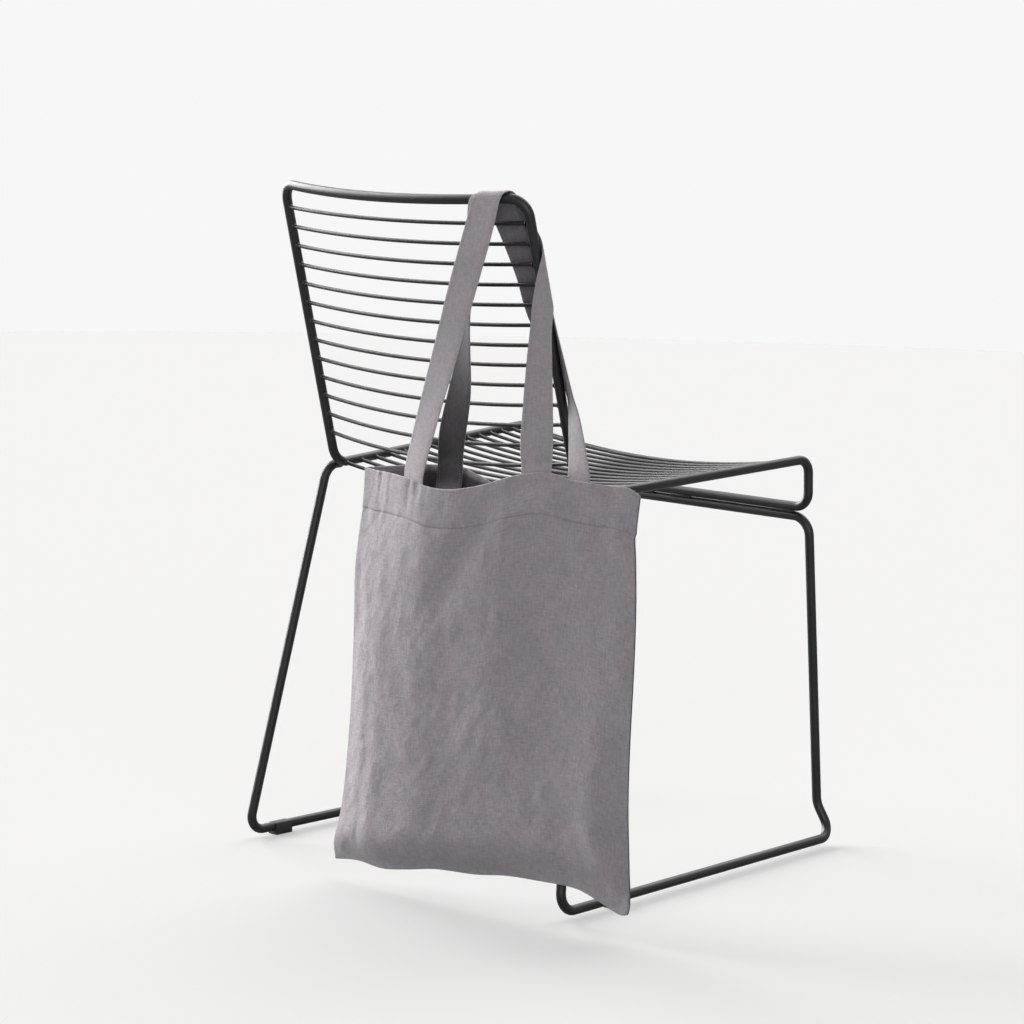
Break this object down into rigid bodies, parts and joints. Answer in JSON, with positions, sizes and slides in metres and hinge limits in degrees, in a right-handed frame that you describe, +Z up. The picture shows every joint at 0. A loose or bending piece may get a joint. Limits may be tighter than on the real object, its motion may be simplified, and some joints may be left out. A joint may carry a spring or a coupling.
{
  "type": "linen tote bag on a wire chair",
  "caption": "Plain linen tote bag hung by its handles over the back corner of a black wire chair with bowed rods and runner legs.",
  "frame": {"origin": "bottom centre of the bounding box of chair and bag, on the floor", "axes": "+Z up; +Y the way a person on the chair faces; the bag hangs on the -Y side over the +X corner of the back"},
  "size_m": [0.6102, 0.5668, 0.7904],
  "materials": {
    "black_coat": "satin",
    "glide_plastic": "matte",
    "linen": "woven"
  },
  "bodies": {
    "root": {"seat_frame": "black_coat", "leg_frame": "black_coat", "back_rod_01": "black_coat", "back_rod_02": "black_coat", "back_rod_03": "black_coat", "back_rod_04": "black_coat", "back_rod_05": "black_coat", "back_rod_06": "black_coat", "back_rod_07": "black_coat", "back_rod_08": "black_coat", "back_rod_09": "black_coat", "back_rod_10": "black_coat", "back_rod_11": "black_coat", "back_rod_12": "black_coat", "back_rod_13": "black_coat", "seat_rod_01": "black_coat", "seat_rod_02": "black_coat", "seat_rod_03": "black_coat", "seat_rod_04": "black_coat", "seat_rod_05": "black_coat", "seat_rod_06": "black_coat", "seat_rod_07": "black_coat", "seat_rod_08": "black_coat", "seat_rod_09": "black_coat", "seat_rod_10": "black_coat", "seat_rod_11": "black_coat", "seat_rod_12": "black_coat", "seat_rod_13": "black_coat", "seat_rod_14": "black_coat", "seat_rod_15": "black_coat", "seat_rod_16": "black_coat", "glide_rear_left": "glide_plastic", "glide_rear_right": "glide_plastic", "glide_front_left": "glide_plastic", "front_panel": "linen", "back_panel": "linen", "front_handle": "linen", "back_handle": "linen"}
  },
  "joints": []
}
